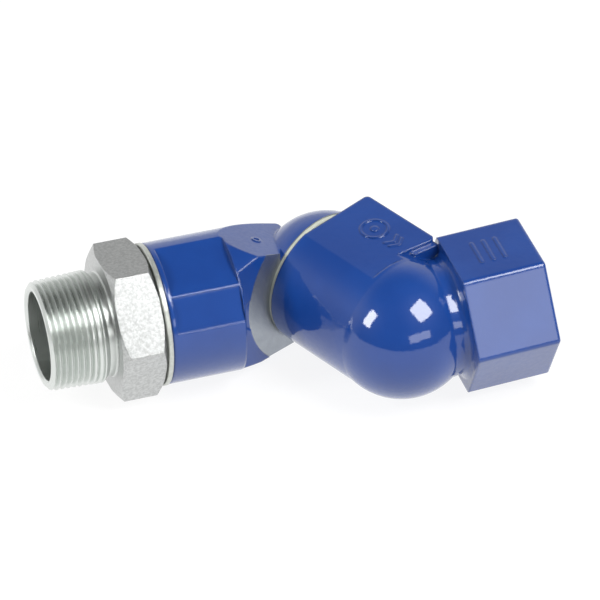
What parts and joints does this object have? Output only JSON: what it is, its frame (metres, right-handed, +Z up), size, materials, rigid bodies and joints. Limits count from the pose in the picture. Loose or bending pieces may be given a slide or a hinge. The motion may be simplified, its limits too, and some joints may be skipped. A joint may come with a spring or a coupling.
{
  "type": "multi-plane swivel pipe fitting",
  "caption": "Swivel pipe fitting: a threaded male nipple, free-turning ball-bearing joints between coated cast elbows, and a hexagonal female threaded outlet.",
  "frame": {"origin": "centre of the free end of the inlet nipple, on the nipple's axis", "axes": "+X along the nipple from its free end into the fitting; +Z up, square to the plane that holds the nipple axis and the swivel axis between the bodies; at rest the outlet faces +X"},
  "size_m": [0.1828, 0.0956, 0.0568],
  "materials": {
    "zinc_plated_steel": "bright zinc plate, lightly speckled on the hexagon",
    "blue_coating": "thick glossy blue powder coat over a casting",
    "thrust_polymer": "cream low-friction polymer",
    "thrust_steel": "pale plated washer",
    "seal_rubber": "black nitrile rubber",
    "bearing_steel": "polished bearing steel",
    "bearing_bronze": "plain bronze bush",
    "plug_steel": "zinc-plated socket plug",
    "backup_polymer": "white anti-extrusion polymer"
  },
  "bodies": {
    "nipple": {"inlet_nipple": "zinc_plated_steel", "inlet_thrust_washer": "thrust_steel", "inlet_oring_front": "seal_rubber", "inlet_oring_rear": "seal_rubber", "inlet_backup_ring": "backup_polymer", "inlet_ball_set": "bearing_steel"},
    "inlet_elbow": {"inlet_body": "blue_coating", "inlet_wiper": "seal_rubber", "inlet_bush": "bearing_bronze", "inlet_loading_plug": "plug_steel", "inlet_plug_seal": "seal_rubber", "joint_thrust_washer": "thrust_polymer", "joint_oring_front": "seal_rubber", "joint_oring_rear": "seal_rubber", "joint_backup_ring": "backup_polymer", "joint_ball_set": "bearing_steel"},
    "outlet_elbow": {"outlet_body": "blue_coating", "joint_wiper": "seal_rubber", "joint_bush": "bearing_bronze", "joint_loading_plug": "plug_steel", "joint_plug_seal": "seal_rubber"}
  },
  "joints": [
    {"name": "inlet_swivel", "type": "hinge", "parent": "nipple", "child": "inlet_elbow", "pos_m": [0.0565, 0, 0], "axis": [1, 0, 0], "continuous": true},
    {"name": "elbow_swivel", "type": "hinge", "parent": "inlet_elbow", "child": "outlet_elbow", "pos_m": [0.1123, 0, 0], "axis": [0.4226, -0.9063, 0], "continuous": true}
  ]
}
